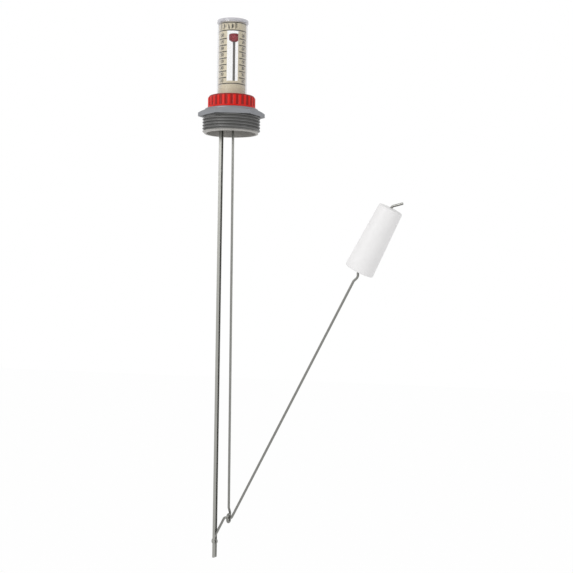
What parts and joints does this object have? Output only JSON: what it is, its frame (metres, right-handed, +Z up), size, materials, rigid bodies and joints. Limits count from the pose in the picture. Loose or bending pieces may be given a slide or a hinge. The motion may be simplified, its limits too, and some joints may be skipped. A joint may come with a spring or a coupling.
{
  "type": "float level gauge",
  "caption": "Direct-reading tank float gauge: clear vial with scale card and sliding button on a threaded hex bushing, with a swing arm float below.",
  "frame": {"origin": "centre of the hex flange's underside, on the axis of the tank thread", "axes": "+Z up along the thread axis towards the vial, +X the side the float arm reaches out to, the arm swings in the XZ plane"},
  "size_m": [0.155, 0.0488, 0.3922],
  "materials": {
    "cast_grey": "matt as cast",
    "gasket_rubber": "matt",
    "clear_plastic": "clear",
    "printed_card": "satin print",
    "red_plastic": "moulded",
    "strip_steel": "rolled",
    "wire_steel": "drawn wire",
    "button_plastic": "moulded",
    "float_foam": "satin"
  },
  "bodies": {
    "head": {"hex_bushing": "cast_grey", "vial_gasket": "gasket_rubber", "vial": "clear_plastic", "scale_card": "printed_card", "lock_collar": "red_plastic", "support_channel": "strip_steel", "support_rivet": "strip_steel", "pivot_pin": "strip_steel"},
    "arm": {"float_arm": "wire_steel"},
    "float_body": {"float": "float_foam"},
    "rod": {"link_rod": "wire_steel", "indicator": "button_plastic"}
  },
  "joints": [
    {"name": "arm_swing", "type": "hinge", "parent": "head", "child": "arm", "pos_m": [-0.0082, 0, -0.3097], "axis": [0, 1, 0], "range_deg": [0, 85], "stiffness_Nm_per_rad": 0.12, "springref_deg": -13.87},
    {"name": "rod_swing", "type": "hinge", "parent": "arm", "child": "rod", "pos_m": [0.00315, 0, -0.2896], "axis": [0, 1, 0], "range_deg": [-87.3, 0]},
    {"name": "float_spin", "type": "hinge", "parent": "arm", "child": "float_body", "pos_m": [0.10163, 0, -0.1128], "axis": [0.4741, 0, 0.8805], "continuous": true}
  ],
  "couplings": [
    {"joint": "rod_swing", "follows": "arm_swing", "ratio": -1.0259}
  ]
}
